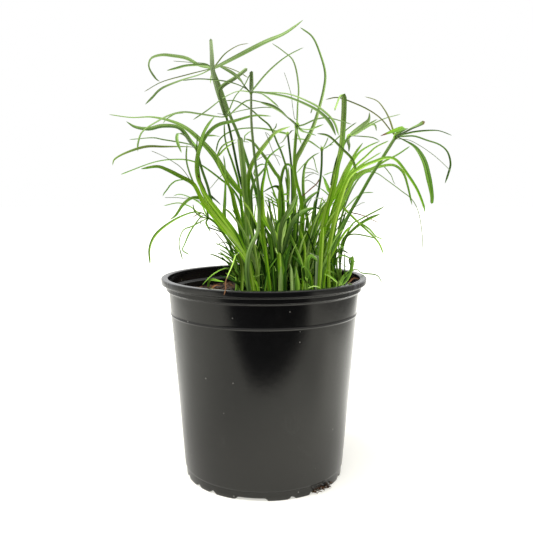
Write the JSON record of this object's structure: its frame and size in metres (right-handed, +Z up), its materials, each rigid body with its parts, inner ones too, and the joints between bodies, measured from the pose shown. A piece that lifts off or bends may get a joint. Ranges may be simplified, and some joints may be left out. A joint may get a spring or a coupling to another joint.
{
  "type": "potted papyrus plant",
  "caption": "Young papyrus sedge in a round black nursery pot: slim stems topped by spreading bracts, with long arching grassy leaves rising from potting soil.",
  "frame": {"origin": "on the floor, under the middle of the whole plant's spread; the pot's own axis stands at x = -0.0129, y = 0", "axes": "+Z up, -Y the front that the picture shows, +X to the viewer's right"},
  "size_m": [0.2786, 0.165, 0.3695],
  "materials": {
    "pot_plastic": "black injection-moulded plastic, slightly dusty and scuffed",
    "soil": "dark brown moist potting mix of peat and bark crumbs",
    "stem_green": "smooth three-sided living stem, dark to yellow green",
    "bract_green": "satin living leaf, mid to bluish green with fine lengthwise veins",
    "leaf_green": "satin living leaf, yellow green with a darker keel and fine lengthwise veins"
  },
  "bodies": {
    "root": {"pot": "pot_plastic", "potting_soil": "soil", "stem_1": "stem_green", "stem_2": "stem_green", "stem_3": "stem_green", "stem_4": "stem_green", "stem_5": "stem_green", "stem_6": "stem_green", "stem_7": "stem_green", "stem_8": "stem_green", "stem_9": "stem_green", "umbel_1": "bract_green", "umbel_2": "bract_green", "umbel_3": "bract_green", "umbel_4": "bract_green", "umbel_5": "bract_green", "umbel_6": "bract_green", "umbel_7": "bract_green", "umbel_8": "bract_green", "umbel_9": "bract_green", "leaf_left_high": "leaf_green", "leaf_left_curled": "leaf_green", "leaf_left_crossing": "leaf_green", "leaf_left_low": "leaf_green", "leaf_left_arching": "leaf_green", "leaf_left_upright": "leaf_green", "leaf_forked": "leaf_green", "leaf_slender_left": "leaf_green", "leaf_centre_broad": "leaf_green", "leaf_centre_bright": "leaf_green", "leaf_dark_upright": "leaf_green", "leaf_crossing_left": "leaf_green", "leaf_long_arch": "leaf_green", "leaf_tall_arch": "leaf_green", "leaf_bright_bowed": "leaf_green", "leaf_short_crossing": "leaf_green", "leaf_hooked": "leaf_green", "leaf_folded_left": "leaf_green", "leaf_thin_left": "leaf_green", "leaf_dark_right": "leaf_green", "leaf_slim_right": "leaf_green", "leaf_folded_tip": "leaf_green", "leaf_right_middle": "leaf_green", "leaf_right_back": "leaf_green", "leaf_right_crossing": "leaf_green", "leaf_right_slender": "leaf_green", "leaf_right_thin": "leaf_green", "leaf_right_rising": "leaf_green", "leaf_right_drooping": "leaf_green", "leaf_right_lower": "leaf_green", "leaf_right_hanging": "leaf_green", "leaf_right_bent": "leaf_green", "leaf_over_rim": "leaf_green", "tiller_left_low": "leaf_green", "tiller_centre": "leaf_green", "tiller_left": "leaf_green", "tiller_front": "leaf_green", "tiller_right": "leaf_green", "tiller_right_front": "leaf_green", "tiller_right_side": "leaf_green"}
  },
  "joints": []
}
